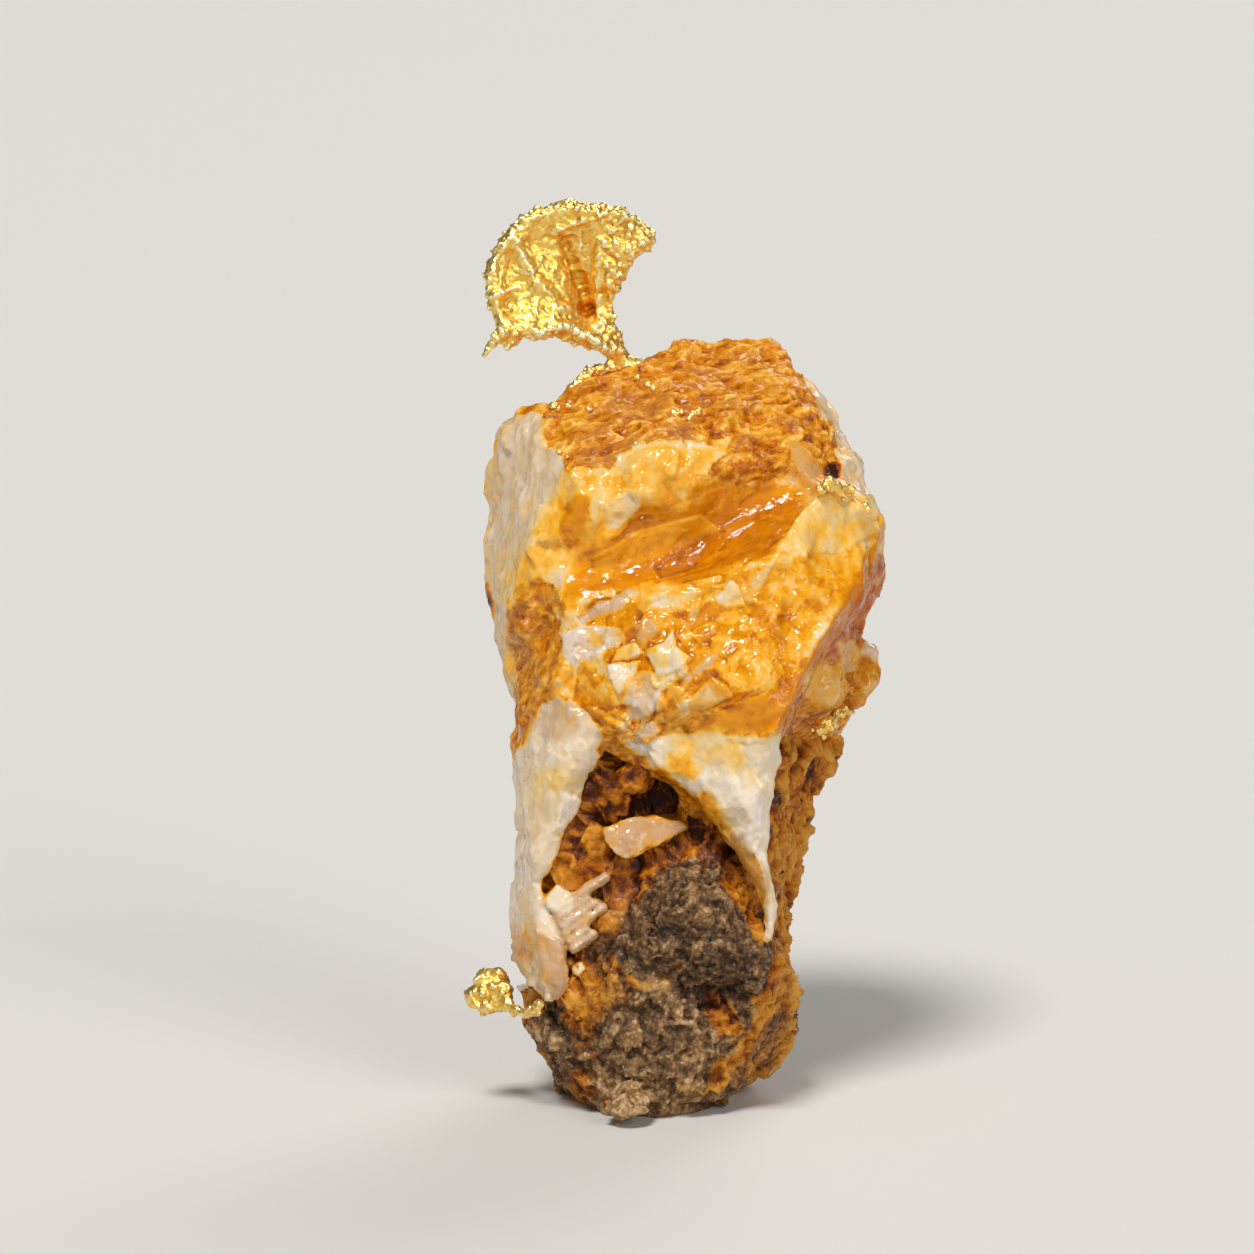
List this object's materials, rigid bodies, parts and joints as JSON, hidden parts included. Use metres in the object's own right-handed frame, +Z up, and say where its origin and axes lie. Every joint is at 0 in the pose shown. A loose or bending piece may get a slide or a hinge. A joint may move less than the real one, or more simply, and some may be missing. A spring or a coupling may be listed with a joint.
{
  "type": "gold in quartz specimen",
  "caption": "Hand specimen of milky quartz stained by iron, with a leaf, a nugget and grains of native gold, standing on end on the flat of its brown wall rock.",
  "frame": {"origin": "middle of the flat rest face under the wall rock, on the floor", "axes": "+Z up along the specimen's length, -Y towards the viewer of its best side, +X to that viewer's right"},
  "size_m": [0.0284, 0.0254, 0.0594],
  "materials": {
    "quartz": "milky vein quartz, waxy to glassy, stained cream, honey and rust by iron",
    "wall_rock": "grey-brown granular rock with rusty limonite crusts",
    "gold": "bright native gold, crumpled and grainy"
  },
  "bodies": {
    "root": {"quartz": "quartz", "wall_rock": "wall_rock", "gold_leaf": "gold", "gold_nugget": "gold", "gold_crust": "gold", "gold_crest": "gold"}
  },
  "joints": []
}
